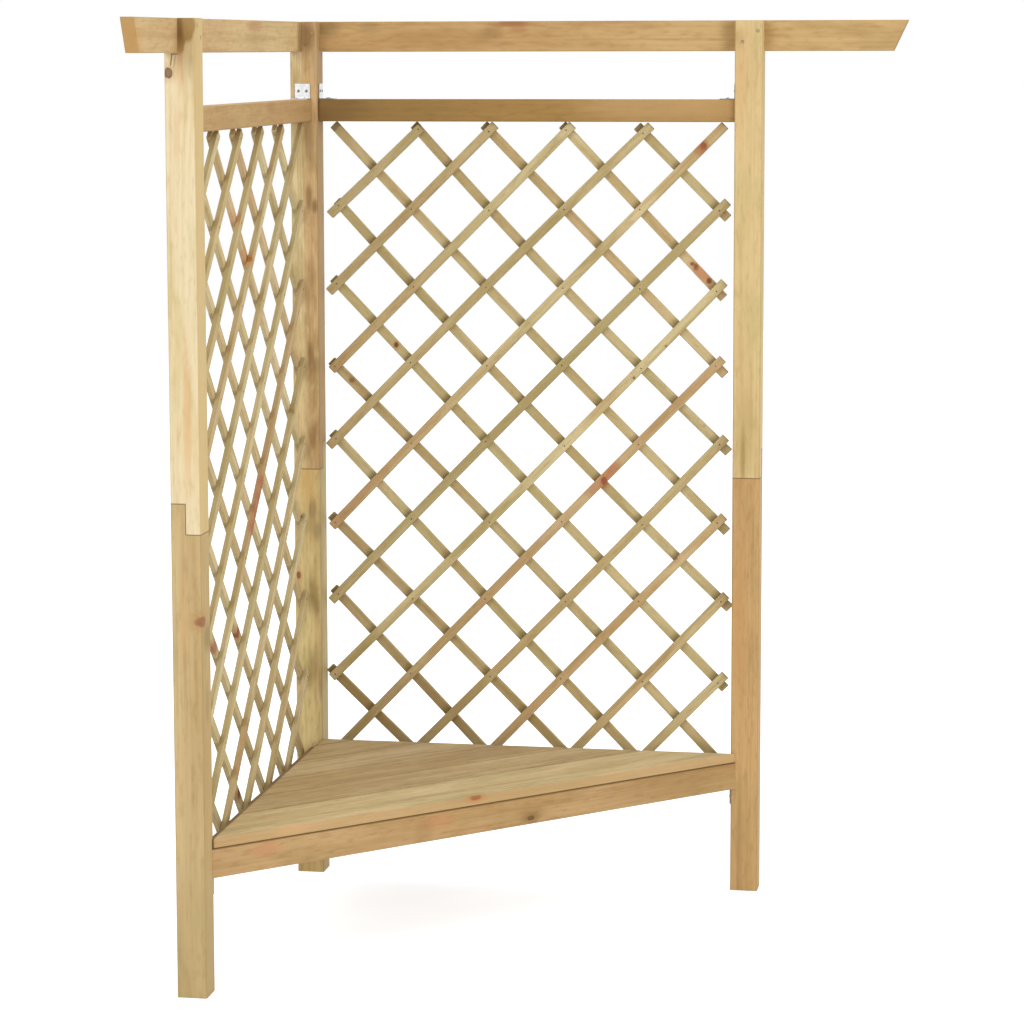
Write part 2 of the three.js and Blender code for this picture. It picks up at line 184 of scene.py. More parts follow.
# Softwood as it grows: x runs along the stem, and y and z are measured from its middle. Growth rings
# are a saw-tooth of the distance from the middle, bent by slow noise and by the branches, which leave
# the middle as spokes. Heartwood fills the rings inside a radius. Over that lie broad patches of tone,
# long soft streaks and a stain, each from noise that is drawn out along the stem.
def makePine():
    inputs = {"vector": (0.0, 0.0, 0.0), "bend": 0.0, "endGrain": 0.0, **plainWood}
    group, given, result = newGroup(
        "pine", inputs, colour="NodeSocketColor", height="NodeSocketFloat", roughness="NodeSocketFloat")
    wood = given["vector"]
    patch, cloud, streak, band, mottle, fibre = (
        noise(arrow("ADD", wood, offset), (along, across, across), detail)
        for along, across, offset, detail in pineNoises.values())
    drift = arrow("SUBTRACT", noise(wood, pineFigure["drift"], colour=True), (0.5, 0.5, 0.5))
    wander = given["wander"]
    bent = arrow("MULTIPLY_ADD", drift, join(0.0, wander, wander), wood)
    stemX, stemY, stemZ = split(bent)
    radius = arrow("LENGTH", arrow("MULTIPLY", bent, (0.0, 1.0, 1.0)))
    streakSwing = minus(streak, 0.5)

    # Branches: the nearest place for one, whether it is there, and the distance from it in its own radii
    perMetre, perRadian = pineFigure["perMetre"], pineFigure["perRadian"]
    cells = join(times(stemX, perMetre), times(number("ARCTAN2", stemZ, stemY), perRadian), 0.0)
    branches = feedAll(addNode(group, "TexVoronoi", voronoi_dimensions="2D"), Scale=1.0, Vector=cells)
    away = split(arrow("SUBTRACT", cells, branches["Position"]))
    awayAlong = over(away[0], perMetre)
    awayRound = times(over(away[1], perRadian), radius)
    spread = number("SQRT", plus(times(awayAlong, awayAlong), times(awayRound, awayRound)))
    chance = feedAll(addNode(group, "SeparateColor"), Color=branches["Color"])
    there = number("LESS_THAN", chance[0], given["knots"])
    reach = over(spread, times(given["knotSize"], plus(chance[1], 0.5)))
    core = times(there, ease(reach, 1.0, 0.75))
    rim = times(there, times(ease(reach, 0.7, 0.95), ease(reach, 1.35, 1.0)))
    halo = times(there, ease(reach, 3.6, 1.0))

    # Rings: late is the dark wood at the end of each one
    wobble = times(streakSwing, pineFigure["wobble"])
    bending = times(plus(halo, given["bend"]), pineFigure["bending"])
    phase = number("FRACT", plus(over(radius, given["ringWidth"]), plus(wobble, bending)))
    late = times(ease(phase, 0.25, 0.85), ease(phase, 1.0, 0.88))

    # Sapwood and heartwood, and over them the rest: a mask, its strength and its colour
    tone = plus(times(patch, 0.6), times(cloud, 0.4))
    sap = mingle(ease(tone, 0.42, 0.58), given["light"], given["middle"])
    heart = mingle(ease(tone, 0.44, 0.62, 0.0, 0.45), given["heart"], given["dark"])
    edge = plus(radius, times(streakSwing, pineFigure["heartWobble"]))
    inner = plus(given["heartRadius"], -pineFigure["heartEdge"])
    outer = plus(given["heartRadius"], pineFigure["heartEdge"])
    colour = mingle(ease(edge, outer, inner), sap, heart)
    for mask, share, paint in (
        (times(ease(cloud, 0.5, 0.66), ease(patch, 0.62, 0.46)), given["stains"], given["stain"]),
        (times(late, ease(band, 0.36, 0.6, 0.25, 1.0)), given["rings"], given["dark"]),
        (ease(streak, 0.52, 0.78), given["streaks"], given["dark"]),
        (ease(band, 0.55, 0.72, 0.0, 0.6), given["streaks"], given["dark"]),
        (ease(band, 0.44, 0.28, 0.0, 0.7), given["streaks"], given["light"]),
        (ease(fibre, 0.35, 0.75), 0.1, given["dark"]),
        (ease(mottle, 0.5, 0.72), 0.3, given["dark"]),
        (ease(mottle, 0.48, 0.3), 0.3, given["light"]),
        (halo, 0.45, pineFigure["halo"]), (core, 0.9, pineFigure["core"]), (rim, 0.8, pineFigure["rim"]),
        (given["endGrain"], 0.4, given["dark"]),
    ):
        colour = mingle(times(mask, share), colour, paint)
    feed(result["colour"], colour)
    feed(result["height"], plus(times(late, -0.4), times(fibre, 0.6)))
    feed(result["roughness"], ease(fibre, 0.2, 0.8, 0.56, 0.72))
    return group


# One marked place: the distance from it, in its own radii and made ragged by noise, gives a core, a
# dark rim and a wide halo.
def makeSpot():
    inputs = {"vector": (0.0, 0.0, 0.0), "place": (0.0, 0.0, 0.0), "radii": (0.01, 0.01, 0.01)}
    group, given, result = newGroup(
        "spot", inputs, core="NodeSocketFloat", rim="NodeSocketFloat", halo="NodeSocketFloat")
    away = arrow("DIVIDE", arrow("SUBTRACT", given["vector"], given["place"]), given["radii"])
    ragged = times(noise(arrow("ADD", away, given["place"]), (1.1, 1.1, 1.1)), 0.5)
    reach = plus(arrow("LENGTH", away), plus(ragged, -0.25))
    feed(result["core"], ease(reach, 1.0, 0.7))
    feed(result["rim"], times(ease(reach, 0.6, 0.95), ease(reach, 1.3, 1.0)))
    feed(result["halo"], ease(reach, 3.0, 0.7))
    return group


# The joint of a half lap, seen from its side, is a stepped line: level at high outside the lap plane,
# upright along it, and level at low inside it. The nearer a point is to that line, the higher dark is.
def makeLapLine():
    inputs = {"across": 0.0, "height": 0.0, "low": 0.0, "high": 1.0, "width": 0.002}
    group, given, result = newGroup("lap line", inputs, dark="NodeSocketFloat")
    across, height, low, high, width = (given[label] for label in inputs)
    toHigh = plus(absolute(minus(height, high)), larger(across, 0.0))
    toLow = plus(absolute(minus(height, low)), larger(times(across, -1.0), 0.0))
    beyond = larger(larger(minus(height, high), minus(low, height)), 0.0)
    nearest = smaller(smaller(toHigh, toLow), plus(absolute(across), beyond))
    feed(result["dark"], ease(nearest, width, 0.0))
    return group


pine, spot, lapLine = makePine(), makeSpot(), makeLapLine()


def clearTree(owner):
    owner.use_nodes = True
    owner.node_tree.nodes.clear()
    return owner.node_tree


def blankMaterial(name):
    material = bpy.data.materials.new(name)
    tree = clearTree(material)
    shader = addNode(tree, "BsdfPrincipled")
    feedAll(addNode(tree, "OutputMaterial"), Surface=shader.outputs[0])
    return material, tree, shader.inputs


def roughen(sockets, height, distance, strength):
    bump = addNode(treeOf(height), "Bump")
    feed(sockets["Normal"], feedAll(bump, Height=height, Distance=distance, Strength=strength)[0])


woodFinish = {
    "specular": 0.3,
    "bump": (0.0006, 0.35), "slatBump": (0.0004, 0.2),  # height in metres and strength
    "arris": 0.35, "lap": 0.75, "lapColour": "#5A4122",  # how dark the arrises and the laps' lines are
    "perSeed": 1.37,  # how far one seed moves the pattern along the stem, in metres
}


def finishWood(sockets, colour, wood, bump):
    feed(sockets["Base Color"], colour)
    feed(sockets["Roughness"], wood["roughness"])
    feed(sockets["Specular IOR Level"], woodFinish["specular"])
    roughen(sockets, wood["height"], *woodFinish[bump])


# Marks are single places on a piece: the share and the colour of each part that a kind paints, and how
# much it bends the rings
markKinds = {
    "knot": dict(halo=(0.4, "#B98448"), core=(0.9, "#86664A"), rim=(0.8, "#4F3926"), bend=1.0),
    "redKnot": dict(halo=(0.5, "#B9804A"), core=(0.9, "#8F5232"), rim=(0.6, "#633A22"), bend=1.0),
    "speck": dict(halo=(0.35, "#9A7846"), core=(0.85, "#5A4128")),
    # shade: painted shade where a neighbouring part shadows the piece, and darker patches of the wood's tone
    "shade": dict(halo=(0.6, "#73532B")),
    "blush": dict(halo=(0.5, "#CB8A5E"), bend=0.3),
    "crack": dict(halo=(0.15, "#A07B47"), core=(0.85, "#5B4223")),
    "paleKnot": dict(halo=(0.4, "#B98448"), core=(0.7, "#86664A"), rim=(0.5, "#4F3926"), bend=1.0),
    "ringKnot": dict(halo=(0.55, "#B98448"), core=(0.5, "#86664A"), rim=(0.7, "#4F3926"), bend=1.0),
    "tanKnot": dict(halo=(0.4, "#B98448"), core=(0.6, "#9A7450"), rim=(0.6, "#4F3926"), bend=1.0),
}


# A mark is its kind, its place, its radii along and across the grain, and what it changes of its kind:
# the halo's share, its colour or both, and a dictionary with the same for other parts.
def markParts(kind, changes):
    parts = dict(markKinds[kind])
    for change in changes:
        for part, new in (change if isinstance(change, dict) else {"halo": change}).items():
            if not isinstance(new, tuple):
                share, colour = parts[part]
                new = (share, new) if isinstance(new, str) else (new, colour)
            parts[part] = new
    return parts


def flatMarks(axis, at, marks):  # their places lack the coordinate along the axis
    return [(kind, (*spots[:axis], at, *spots[axis:]), *rest) for kind, spots, *rest in marks]


# The marks are found before the wood is made, so that the rings bend round the knots.
def findMarks(wood, marks, turn=Matrix.Identity(3), shift=Vector((0, 0, 0))):
    found, bend = [], 0.0
    for kind, spots, along, across, *changes in marks:
        parts = markParts(kind, changes)
        masks = useGroup(spot, vector=wood, place=turn @ Vector(spots) + shift, radii=(along, across, across))
        found.append((parts, masks))
        if "bend" in parts:
            bend = plus(times(masks["halo"], parts["bend"]), bend)
    return found, bend


def paintMarks(colour, found):
    for parts, masks in found:
        for part in ("halo", "core", "rim"):
            share, paint = parts.get(part, (0.0, ""))
            if share:
                colour = mingle(times(masks[part], share), colour, paint)
    return colour


# How the grain frame of a member is turned: each rotation brings the member's length onto x.
grainTurns = {
    "up": Matrix.Rotation(math.radians(90), 3, "Y"),
    "right wing": Matrix.Identity(3),
    "left wing": Matrix.Rotation(math.radians(-90), 3, "Z"),
    "seat": Matrix.Rotation(math.radians(-45), 3, "Z"),
    "seat across": Matrix.Rotation(math.radians(-135), 3, "Z"),
}

# The upright sides of a node's box that carry marks: the axis, and whether the low or the high end
boxSides = {"left": (0, 0), "right": (0, 1), "front": (1, 0), "back": (1, 1)}
tintWays = {  # the ways in which tinted sides point
    "right": (1.0, 0.0, 0.0), "front": (0.0, -1.0, 0.0), "top": (0.0, 0.0, 1.0),
    "bench front": (0.7071, -0.7071, 0.0),
}


# Wood for a CAD node. The middle of the stem lies at the given distance across and above the middle of
# the node, and the seed moves the pattern along the stem. Sides are tinted by the way they point, some
# with painted shade, and shade lines are painted shade: dark lines along a plane.
def woodFor(nodeName, look):
    material, tree, sockets = blankMaterial(nodeName + "_wood")
    coordinates = addNode(tree, "TexCoord").outputs
    inObject, normal = coordinates["Object"], coordinates["Normal"]
    turn = grainTurns[look["grain"]]
    low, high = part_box(nodeName)
    middle = turn @ ((low + high) / 2)
    across, above = look["stem"]
    shift = Vector((look["seed"] * woodFinish["perSeed"], -across - middle.y, -above - middle.z))
    mapping = addNode(tree, "Mapping")
    wood = feedAll(mapping, Vector=inObject, Rotation=turn.to_euler(), Location=shift)[0]
    marks = list(look.get("marks", []))
    for side, (axis, end) in boxSides.items():
        marks += flatMarks(axis, (low, high)[end][axis], look.get(side, []))
    found, bend = findMarks(wood, marks, turn, shift)
    alongGrain, *besides = (absolute(arrow("DOT_PRODUCT", normal, tuple(axis))) for axis in turn)
    terms = {word: look.get(word, plain) for word, plain in plainWood.items()}
    grown = useGroup(pine, vector=wood, bend=bend, endGrain=ease(alongGrain, 0.6, 0.85), **terms)
    colour = grown["colour"]
    # painted shade: the right tints darken the sides that face +X and the top tints darken the bearers' tops
    # under the planks; the other tints colour a side
    for way, (paint, share) in look.get("tints", {}).items():
        towards = arrow("DOT_PRODUCT", normal, tintWays[way])
        colour = mingle(ease(towards, 0.5, 0.9, 0.0, share), colour, paint)
    squareness = larger(larger(*besides), alongGrain)  # 1 on the flat sides, less on the eased arrises
    colour = mingle(ease(squareness, 0.97, 0.93, 0.0, woodFinish["arris"]), colour, terms["dark"])
    colour = paintMarks(colour, found)
    # painted shade lines along a plane: the gaps at the planks' ends and the shadow under the front plank's
    # nose
    for axis, start, rim in look.get("shadeLines", []):
        beyond = plus(arrow("DOT_PRODUCT", inObject, axis), -start)
        nearness = ease(beyond, rim["width"], rim["width"] * 0.25, 0.0, rim["share"])
        colour = mingle(nearness, colour, rim["colour"])
    if "lap" in look:
        lap = look["lap"]
        inwards = plus(arrow("DOT_PRODUCT", inObject, lap["inwards"]), lap["offset"])
        line = useGroup(lapLine, across=inwards, height=split(inObject)[2], low=lap["low"], high=lap["high"])
        colour = mingle(times(line["dark"], woodFinish["lap"]), colour, woodFinish["lapColour"])
    finishWood(sockets, colour, grown, "bump")
    return material


def dress(nodeName, material):
    for slot in nodes[nodeName].material_slots:
        slot.material = material


# Posts
lapHeights = {"low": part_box("corner_post_upper")[0].z, "high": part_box("corner_post_lower")[1].z}
lapOf = {
    "left": dict(lapHeights, inwards=(1, 0, 0), offset=-(outerX + postSize / 2)),
    "corner": dict(lapHeights, inwards=(0, -1, 0), offset=outerY - postSize / 2),
    "right": dict(lapHeights, inwards=(0, -1, 0), offset=outerY - postSize / 2),
}
postLooks = {
    "left_post_upper": dict(
        light="#ECD9AF", middle="#E5CB98", heart="#E1C08A", dark="#C7A062", stain="#D4C894", stains=0.5,
        ringWidth=0.007, rings=0.16, streaks=0.3, stem=(0.012, -0.034), seed=1,
        tints={"right": ("#D0B47A", 0.85)},
        front=[
            ("knot", (-0.688, 1.863), 0.009, 0.0075),
            # painted shadow of the beam on the post's tongue
            ("shade", (-0.6545, 1.954), 0.038, 0.025, (0.2, "#B08F55"), dict(core=(0.85, "#9C7840"))),
            ("shade", (-0.6640, 1.924), 0.028, 0.012, (0.2, "#B08F55"), dict(core=(0.8, "#9A783F"))),
            ("shade", (-0.6640, 1.950), 0.030, 0.0035, "#6E5228"),
            *[("crack", (-0.6695 - 0.0035 * step, 1.8995), 0.0012, 0.0028) for step in range(4)],
            *[("crack", (-0.6805 - 0.0006 * step, 1.897 - 0.0042 * step), 0.0036, 0.0011)
              for step in range(5)],
            *[("crack", (-0.6735 - 0.0009 * step, 1.894 - 0.0050 * step), 0.0040, 0.0009, dict(core=0.4))
              for step in range(4)],
            ("blush", (-0.664, 1.875), 0.022, 0.004, (0.35, "#DBA063")),
            ("blush", (-0.672, 1.745), 0.03, 0.003, (0.3, "#DE9F6C")),
            ("blush", (-0.66, 1.19), 0.08, 0.004, (0.4, "#DDA468")),
            ("blush", (-0.68, 1.30), 0.05, 0.005, (0.35, "#D9C07E")),
        ],
        left=[("paleKnot", (-0.36, 1.42), 0.014, 0.007)],
        back=[("speck", (-0.668, 1.22), 0.006, 0.004)]),
    "left_post_lower": dict(
        light="#D2B783", middle="#C9AA76", heart="#C5A26D", dark="#A4814E", stain="#BAAA72",
        ringWidth=0.006, rings=0.16, streaks=0.4, stem=(0.015, -0.034), seed=2,
        tints={"right": ("#BDA06C", 0.7)},
        front=[
            ("shade", (-0.655, 0.56), 0.2, 0.012, (0.22, "#A9854F")),
            ("shade", (-0.665, 0.06), 0.11, 0.03, (0.3, "#A68B55")),
            ("blush", (-0.672, 0.77), 0.05, 0.004, (0.3, "#CF9A62")),
        ],
        right=[
            ("redKnot", (-0.384, 0.772), 0.010, 0.015, 0.4, dict(core=0.75, rim=0.45)),
            ("shade", (-0.350, 0.735), 0.014, 0.016, (0.55, "#7E7440")),
            ("shade", (-0.36, 0.60), 0.02, 0.006, (0.35, "#8A7844")),
        ],
        left=[("knot", (-0.37, 0.33), 0.008, 0.01)]),
    "corner_post_upper": dict(
        light="#E4CE9A", middle="#D6BB85", heart="#D6B07C", dark="#96723F", stain="#B8A26C", stains=0.5,
        heartRadius=0.0445, wander=0.006, rings=0.25, streaks=0.45, stem=(0.0, -0.029), seed=3,
        tints={"right": ("#AC8B5D", 0.85)},
        front=[
            # painted shadow of the beams on the post's tongue
            ("shade", (-0.655, 1.945), 0.02, 0.0085, "#80603A"),
            ("shade", (-0.6345, 1.86), 0.06, 0.002, (0.5, "#D2B384")),
            # painted shadows of the slat tips on the post
            ("shade", (-0.655, 1.575), 0.014, 0.004), ("shade", (-0.642, 1.552), 0.008, 0.0035, 0.65),
            ("shade", (-0.652, 1.69), 0.03, 0.006, 0.25), ("shade", (-0.650, 1.40), 0.02, 0.005, 0.3),
            ("shade", (-0.655, 1.215), 0.014, 0.004, 0.55), ("shade", (-0.641, 1.19), 0.009, 0.004, 0.35),
            ("shade", (-0.650, 1.03), 0.016, 0.005, 0.35),
        ],
        back=[("ringKnot", (-0.66, 1.52), 0.011, 0.006)],
        left=[("knot", (0.66, 1.24), 0.006, 0.005, 0.25)]),
    "corner_post_lower": dict(
        light="#E1C98D", middle="#D0B379", heart="#CAA163", dark="#937743", stain="#AB9D5E", stains=0.6,
        ringWidth=0.006, rings=0.2, streaks=0.5, stem=(0.02, -0.034), seed=4,
        tints={"right": ("#B3A071", 0.6)},
        front=[
            # painted shadows of the slat tips on the post
            ("shade", (-0.653, 0.855), 0.013, 0.005, 0.5), ("shade", (-0.643, 0.805), 0.011, 0.005, 0.4),
            ("shade", (-0.655, 0.66), 0.02, 0.004, 0.35), ("shade", (-0.645, 0.63), 0.012, 0.004, 0.35),
            ("shade", (-0.65, 0.50), 0.02, 0.005, 0.35), ("shade", (-0.638, 0.45), 0.02, 0.003, 0.4),
            ("blush", (-0.665, 0.92), 0.03, 0.008, "#C79A52"),
            ("redKnot", (-0.688, 0.70), 0.008, 0.005),
            ("shade", (-0.665, 0.02), 0.04, 0.03, (0.3, "#B5813F")),
        ],
        back=[("tanKnot", (-0.67, 0.62), 0.016, 0.009)]),
    "right_post_upper": dict(
        light="#DCC289", middle="#D7B781", heart="#D4AF7A", dark="#B28F57", stain="#C7B87C", stains=0.5,
        ringWidth=0.007, rings=0.14, streaks=0.28, stem=(0.018, 0.034), seed=5,
        front=[
            ("blush", (0.33, 1.80), 0.06, 0.005, (0.3, "#D99F66")),
            ("shade", (0.326, 1.93), 0.012, 0.006, (0.3, "#B08648")),
            ("shade", (0.345, 1.04), 0.05, 0.012, (0.35, "#B09A5A")),
            ("shade", (0.34, 1.0), 0.03, 0.003, (0.5, "#93763E")),
        ],
        marks=[("knot", (0.3667, 0.655, 1.49), 0.010, 0.008)],  # a little under the right side
        back=[("paleKnot", (0.345, 1.2), 0.014, 0.007)]),
    "right_post_lower": dict(
        light="#CDA66D", middle="#C49C65", heart="#BF9460", dark="#9A7142", stain="#B29A60",
        ringWidth=0.006, rings=0.18, streaks=0.35, stem=(0.02, 0.034), seed=6,
        front=[
            ("blush", (0.335, 0.62), 0.09, 0.006, (0.3, "#CF9257")),
            ("shade", (0.35, 0.1), 0.06, 0.01, (0.25, "#9A7A45")),
        ],
        back=[("knot", (0.33, 0.52), 0.008, 0.01)]),
}
for nodeName, look in postLooks.items():
    side = nodeName.split("_")[0]
    dress(nodeName, woodFor(nodeName, dict(look, grain="up", lap=lapOf[side])))
print("posts dressed")

# Beams, rails and bearers
bearerWood = dict(heartRadius=0.03, knots=0.12, stem=(0.03, 0.03))
bearerTints = {"top": ("#6F5835", 0.65)}  # shaded by the planks that lie on it
beamLooks = {
    "right_beam": dict(
        light="#CCA971", middle="#C09964", heart="#C0925D", dark="#99703A", stain="#B1925A", stains=0.5,
        grain="right wing", ringWidth=0.007, rings=0.18, streaks=0.38, stem=(0.034, 0.02), seed=7,
        front=[
            ("blush", (-0.190, 1.964), 0.022, 0.0035, (0.75, "#99603A")),
            ("blush", (-0.175, 1.952), 0.010, 0.004, (0.4, "#A8663E")),
            ("shade", (-0.235, 1.945), 0.012, 0.008, (0.4, "#8A6236")),
            ("shade", (-0.262, 1.935), 0.010, 0.008, (0.3, "#97703E")),
            ("shade", (-0.38, 1.93), 0.06, 0.012, (0.3, "#A67B45")),
            # painted shade beside the corner post
            ("shade", (-0.617, 1.955), 0.014, 0.01, (0.5, "#80683C")),
            ("shade", (-0.52, 1.957), 0.012, 0.008, (0.4, "#94764A")),
            ("shade", (0.305, 1.94), 0.012, 0.02, (0.35, "#8C6A38")),
            ("shade", (0.38, 1.94), 0.012, 0.02, (0.3, "#9A7440")),
        ],
        back=[("ringKnot", (-0.1, 1.93), 0.011, 0.006), ("knot", (0.5, 1.945), 0.006, 0.005, 0.25)]),
    "left_beam": dict(
        light="#D3B783", middle="#CAA875", heart="#CBA06F", dark="#A27B46", stain="#BBA46D",
        grain="left wing", ringWidth=0.007, rings=0.16, streaks=0.35, stem=(0.034, -0.02), seed=8,
        tints={"front": ("#D8AC6A", 0.3)},
        right=[
            ("blush", (0.20, 1.958), 0.03, 0.006, (0.6, "#B07A50")),
            ("shade", (0.22, 1.93), 0.045, 0.01, (0.3, "#A67F4C")),
            # painted shadow beside the corner post
            ("shade", (0.605, 1.93), 0.012, 0.03, (0.75, "#8E6C3E")),
        ],
        marks=[("blush", (-0.68, -0.675, 1.93), 0.03, 0.02, (0.35, "#CB9250"))],  # on the slanted end
        left=[("tanKnot", (0.1, 1.93), 0.016, 0.009), ("paleKnot", (-0.42, 1.945), 0.014, 0.007)]),
    "right_rail": dict(
        light="#AD884D", middle="#A17C42", heart="#9C753C", dark="#77572C", stain="#8F7B44", stains=0.5,
        grain="right wing", ringWidth=0.006, rings=0.2, streaks=0.4, stem=(0.034, 0.02), seed=9,
        front=[
            ("shade", (-0.62, 1.78), 0.05, 0.03, (0.75, "#7C5C30")),
            ("shade", (-0.46, 1.78), 0.1, 0.03, (0.3, "#7F6436")),
            ("blush", (0.14, 1.785), 0.09, 0.02, (0.6, "#C39D68")),
            ("blush", (0.27, 1.785), 0.04, 0.02, (0.4, "#C39A62")),
        ],
        back=[("knot", (-0.1, 1.785), 0.008, 0.01)]),
    "left_rail": dict(
        light="#C1A069", middle="#B89360", heart="#B68B57", dark="#977042", stain="#AD905B",
        grain="left wing", ringWidth=0.007, rings=0.15, streaks=0.3, stem=(0.034, -0.02), seed=10,
        right=[
            ("shade", (0.25, 1.785), 0.02, 0.006, (0.4, "#96683A")),
            ("shade", (0.52, 1.785), 0.07, 0.02, (0.3, "#A27C48")),
        ],
        left=[("ringKnot", (0.2, 1.785), 0.011, 0.006)]),
    "right_bearer": dict(bearerWood, grain="right wing", tints=bearerTints, seed=11),
    "left_bearer": dict(bearerWood, grain="left wing", tints=bearerTints, seed=12),
    "middle_bearer": dict(bearerWood, grain="seat across", seed=13),
}
for nodeName, look in beamLooks.items():
    dress(nodeName, woodFor(nodeName, look))
print("beams, rails and bearers dressed")

# Seat: painted shade as dark lines where the planks end, and painted shadow under the front plank's nose
# where it lies on the front board
endShadeLine = {"width": 0.0032, "share": 0.75, "colour": "#4E3D20"}
noseShadowLine = {"width": 0.0048, "share": 0.9, "colour": "#664A20"}
plankLow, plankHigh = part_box("seat_plank_1")
plankEnds = [((1.0, 0.0, 0.0), plankLow.x, endShadeLine), ((0.0, -1.0, 0.0), -plankHigh.y, endShadeLine)]
boardTop = [((0.0, 0.0, -1.0), -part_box("seat_apron")[1].z, noseShadowLine)]
seatLooks = {
    "seat_plank_1": dict(
        light="#D2BA8A", middle="#C5AC79", heart="#C3A371", dark="#957B4C", stain="#B0A776", stains=0.5,
        ringWidth=0.006, rings=0.3, streaks=0.65, stem=(0.03, -0.035), seed=14, shadeLines=plankEnds[:1],
        tints={"bench front": ("#C89F6A", 0.75)},
        marks=[
            ("redKnot", (-0.1768, 0.1161, 0.3146), 0.013, 0.0055, (0.8, "#D08445"),
             dict(core="#A3522A", rim=(0.4, "#74401F"))),
            ("shade", (-0.19, 0.118, 0.318), 0.03, 0.008, (0.4, "#A08A5A")),
            ("blush", (-0.50, -0.20, 0.31), 0.022, 0.006, (0.45, "#DDAA78")),
            ("shade", (-0.30, 0.07, 0.318), 0.09, 0.006, (0.3, "#9A9160")),
            ("shade", (-0.02, 0.36, 0.318), 0.09, 0.006, (0.3, "#9A8654")),
        ]),
    "seat_apron": dict(
        light="#C8A26F", middle="#BC9560", heart="#BF9364", dark="#956C3B", stain="#B29862",
        ringWidth=0.006, rings=0.2, streaks=0.35, stem=(0.03, -0.034), seed=15, shadeLines=boardTop,
        marks=[
            ("knot", (-0.0744, 0.2185, 0.2494), 0.011, 0.006, (0.6, "#86652F"),
             dict(core=(0.95, "#5C461D"), rim=0.0)),
            ("shade", (-0.0744, 0.2185, 0.258), 0.02, 0.008, (0.35, "#8E6A3C")),
            ("blush", (-0.545, -0.252, 0.279), 0.016, 0.007),
            ("blush", (-0.245, 0.048, 0.275), 0.02, 0.009, 0.4),
            ("shade", (0.19, 0.483, 0.27), 0.09, 0.02, (0.35, "#97723C")),
            ("shade", (-0.36, -0.06, 0.255), 0.05, 0.004, (0.3, "#9E7544")),
            ("shade", (-0.27, 0.02, 0.26), 0.012, 0.012, (0.3, "#95703F")),
        ]),
}
plankTones = [
    ("#C4AA79", "#B39767", "#B3905E"), ("#BC9F6C", "#AC8F5E", "#AD8A5A"), ("#C2A87A", "#B29567", "#B59262"),
    ("#B89D6C", "#A88B5B", "#A88454"), ("#B59A69", "#A68957", "#A68253"),
]
for index, (light, middle, heart) in enumerate(plankTones):
    seatLooks["seat_plank_%d" % (index + 2)] = dict(
        light=light, middle=middle, heart=heart, dark="#856A40", stain="#A08C5C", stains=0.5, ringWidth=0.006,
        rings=0.3, streaks=0.6, stem=(0.02 + 0.01 * index, -0.03), seed=16 + index, shadeLines=plankEnds)
for nodeName, look in seatLooks.items():
    dress(nodeName, woodFor(nodeName, dict(look, grain="seat")))
print("seat dressed")

# Metal: zinc with cloudy crystals. The bump is a height in metres and a strength.
zincFinish = {"cloud": (180.0, 180.0, 180.0), "bump": (0.0002, 0.3)}


def zincMaterial(name, look):
    material, tree, sockets = blankMaterial(name)
    coordinates = addNode(tree, "TexCoord").outputs
    cloud = noise(coordinates["Object"], zincFinish["cloud"], 3.0)
    crystals = feedAll(addNode(tree, "TexVoronoi"), Vector=coordinates["Object"], Scale=look["crystals"])
    colour = mingle(ease(cloud, 0.35, 0.65), look["light"], look["dull"])
    colour = mingle(ease(crystals["Distance"], 0.2, 0.8, 0.0, 0.25), colour, look["dull"])
    if "cutAxis" in look:  # the sheared edges of a sheet are duller than its faces
        facing = absolute(arrow("DOT_PRODUCT", coordinates["Normal"], look["cutAxis"]))
        colour = mingle(ease(facing, 0.6, 0.9), colour, look["cut"])
    feed(sockets["Base Color"], colour)
    feed(sockets["Roughness"], ease(cloud, 0.3, 0.7, look["smooth"], look["rough"]))
    feed(sockets["Metallic"], look["metallic"])
    roughen(sockets, cloud, *zincFinish["bump"])
    return material


zincSheet = dict(
    light="#F4F5F6", dull="#DADDE0", cut="#8F8E86", crystals=260.0, smooth=0.28, rough=0.45, metallic=0.55)
smallHead = dict(crystals=700.0)
zincLooks = {
    "zinc_sheet_left": dict(zincSheet, cutAxis=(1.0, 0.0, 0.0)),
    "zinc_sheet_right": dict(zincSheet, cutAxis=(0.0, 1.0, 0.0)),
    "zinc_screw": dict(smallHead, light="#96958F", dull="#6D6C68", smooth=0.35, rough=0.5, metallic=0.8),
    "weathered_screw": dict(smallHead, light="#AFA586", dull="#877D60", smooth=0.4, rough=0.55, metallic=0.6),
    "stained_screw": dict(smallHead, light="#BFA176", dull="#A18258", smooth=0.5, rough=0.65, metallic=0.45),
    "nail_steel": dict(smallHead, light="#6E6656", dull="#4A4338", smooth=0.45, rough=0.6, metallic=0.7),
}
zinc = {name: zincMaterial(name, look) for name, look in zincLooks.items()}
for nodeName in nodes:
    if "bracket" in nodeName:
        dress(nodeName, zinc["zinc_sheet_" + nodeName.split("_")[0]])
    elif "screw" in nodeName:
        dress(nodeName, zinc["weathered_screw" if nodeName.startswith("right_post") else "stained_screw"])
print("metal dressed")


# Closed tubes: points has one row of rings for each tube, and every ring runs round the same way. Each
# ring is joined to the next, and the first and the last ring are filled.
def tubesToMesh(name, points):
    tubes, rings, around, _ = points.shape
    index = np.arange(tubes * rings * around).reshape(tubes, rings, around)
    following = np.roll(index, -1, axis=2)
    corners = [index[:, :-1], following[:, :-1], following[:, 1:], index[:, 1:]]
    sides = np.stack(corners, axis=-1).reshape(-1, 4)
    caps = np.concatenate([index[:, 0, ::-1], index[:, -1]])
    mesh = bpy.data.meshes.new(name)
    mesh.from_pydata(points.reshape(-1, 3).tolist(), [], sides.tolist() + caps.tolist())
    return mesh


